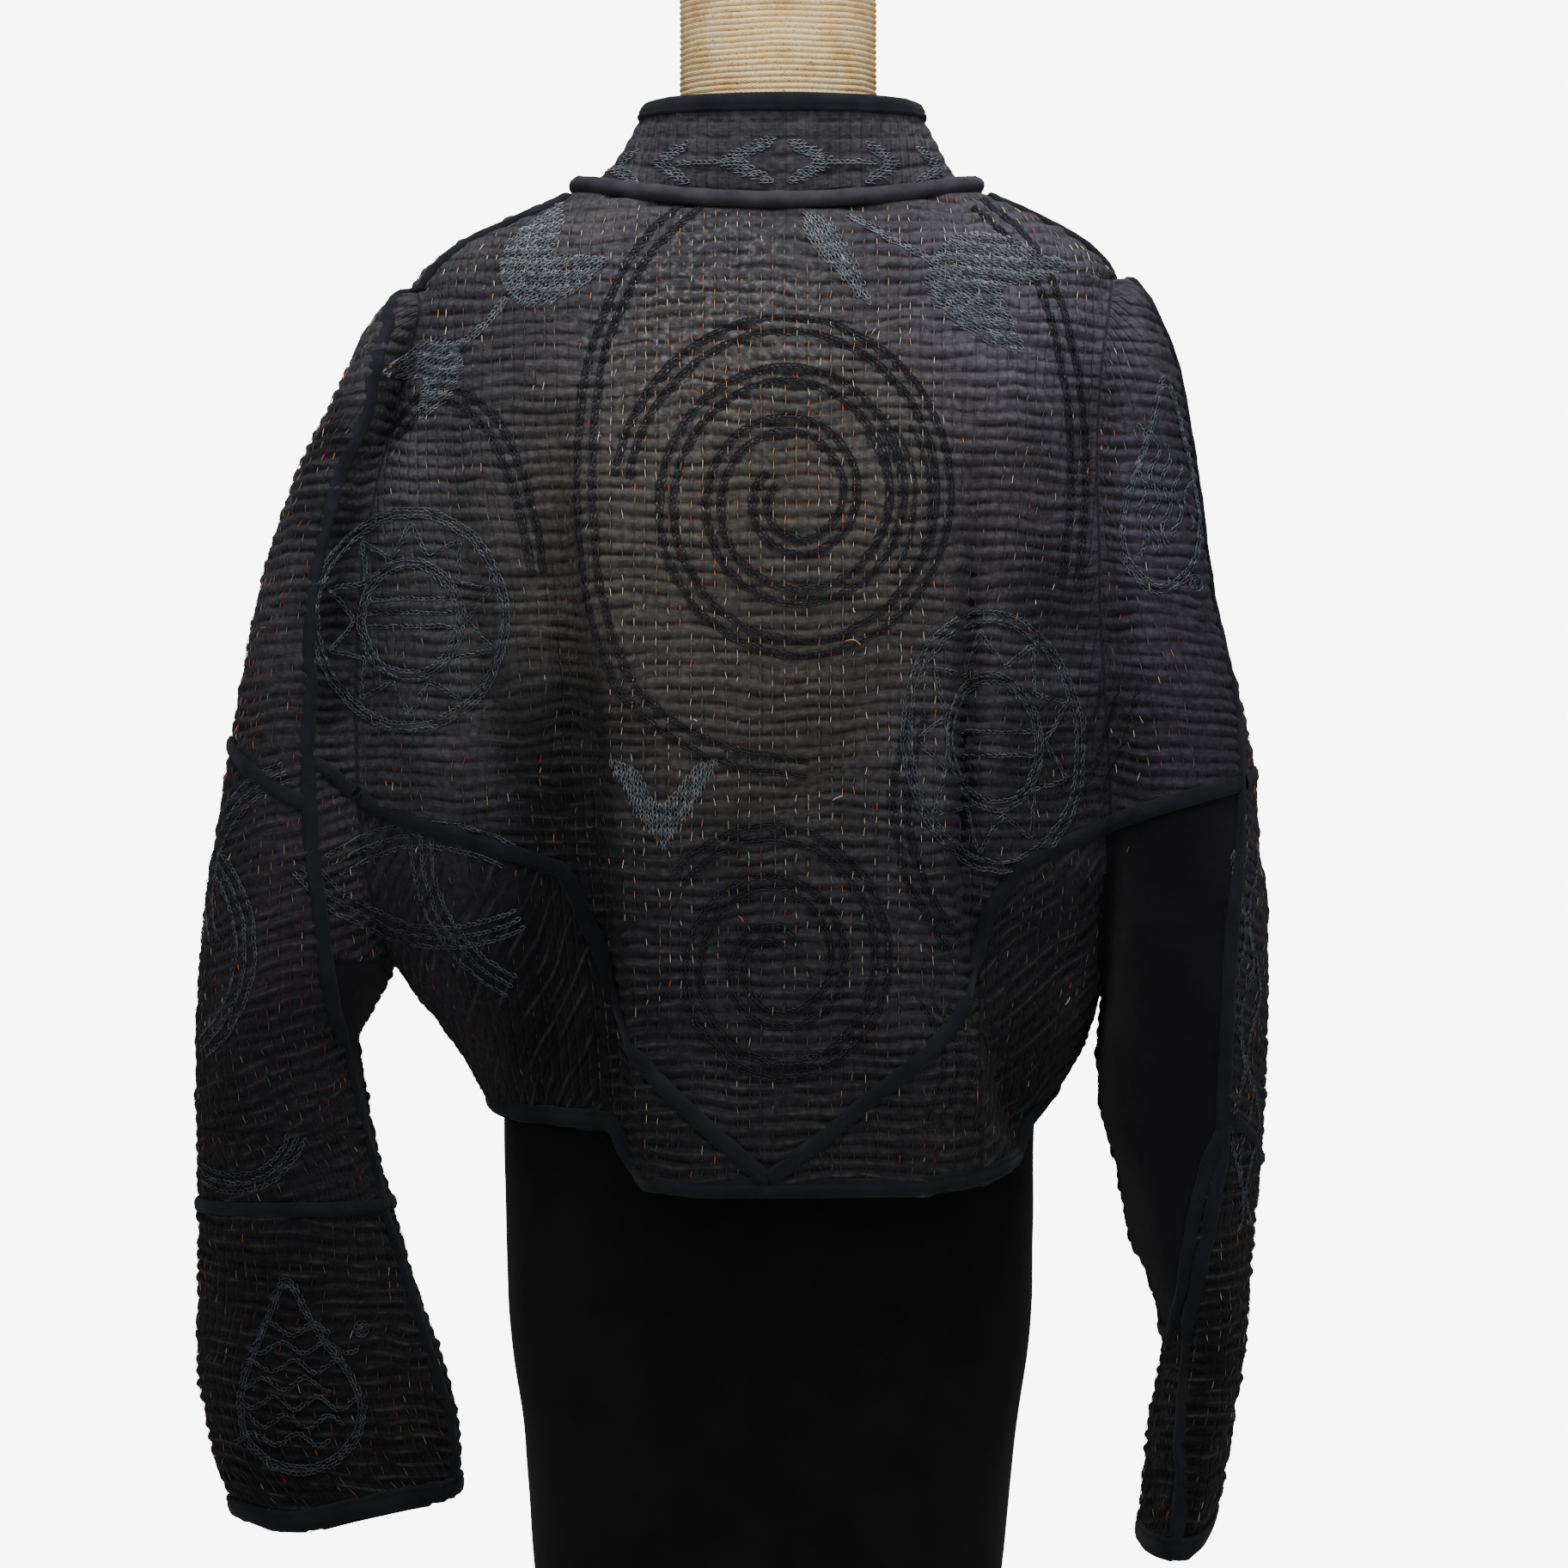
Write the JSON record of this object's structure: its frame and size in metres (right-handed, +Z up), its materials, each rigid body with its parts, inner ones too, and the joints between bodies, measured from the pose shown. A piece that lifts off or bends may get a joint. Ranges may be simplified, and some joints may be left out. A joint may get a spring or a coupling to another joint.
{
  "type": "kantha jacket on a limbless dress form",
  "caption": "Cropped quilted jacket with stand collar and bound seams, worn on a limbless dress form that stands on a round base.",
  "frame": {"origin": "centre of the underside of the stand's round base", "axes": "+Z up, +Y towards the wearer's front, +X towards the wearer's right"},
  "size_m": [0.6453, 0.34, 1.0993],
  "materials": {
    "quilted_cotton": "matte overdyed cotton quilted with running stitch",
    "plain_black_cotton": "matte black cotton",
    "navy_binding": "matte cotton bias binding",
    "form_jersey": "matte black jersey cover",
    "twine": "matte straw twine",
    "stand_metal": "satin black paint"
  },
  "bodies": {
    "root": {"back_panel": "quilted_cotton", "back_lower_left": "quilted_cotton", "back_lower_right": "quilted_cotton", "front_left": "quilted_cotton", "front_right": "quilted_cotton", "front_lower_left": "quilted_cotton", "front_lower_right": "quilted_cotton", "cuff_left": "quilted_cotton", "cuff_right": "quilted_cotton", "collar_stand": "quilted_cotton", "collar_binding": "navy_binding", "collar_piping": "navy_binding", "overarm_binding_left": "navy_binding", "overarm_binding_right": "navy_binding", "v_binding_back_left": "navy_binding", "v_binding_back_right": "navy_binding", "v_binding_front_left": "navy_binding", "v_binding_front_right": "navy_binding", "forearm_binding_left": "navy_binding", "forearm_binding_right": "navy_binding", "cuff_binding_left": "navy_binding", "cuff_binding_right": "navy_binding", "hem_binding": "navy_binding", "front_edge_binding_left": "navy_binding", "front_edge_binding_right": "navy_binding", "form_torso": "form_jersey", "form_neck": "twine", "neck_cap": "form_jersey", "stand_pole": "stand_metal", "stand_base": "stand_metal"}
  },
  "joints": []
}
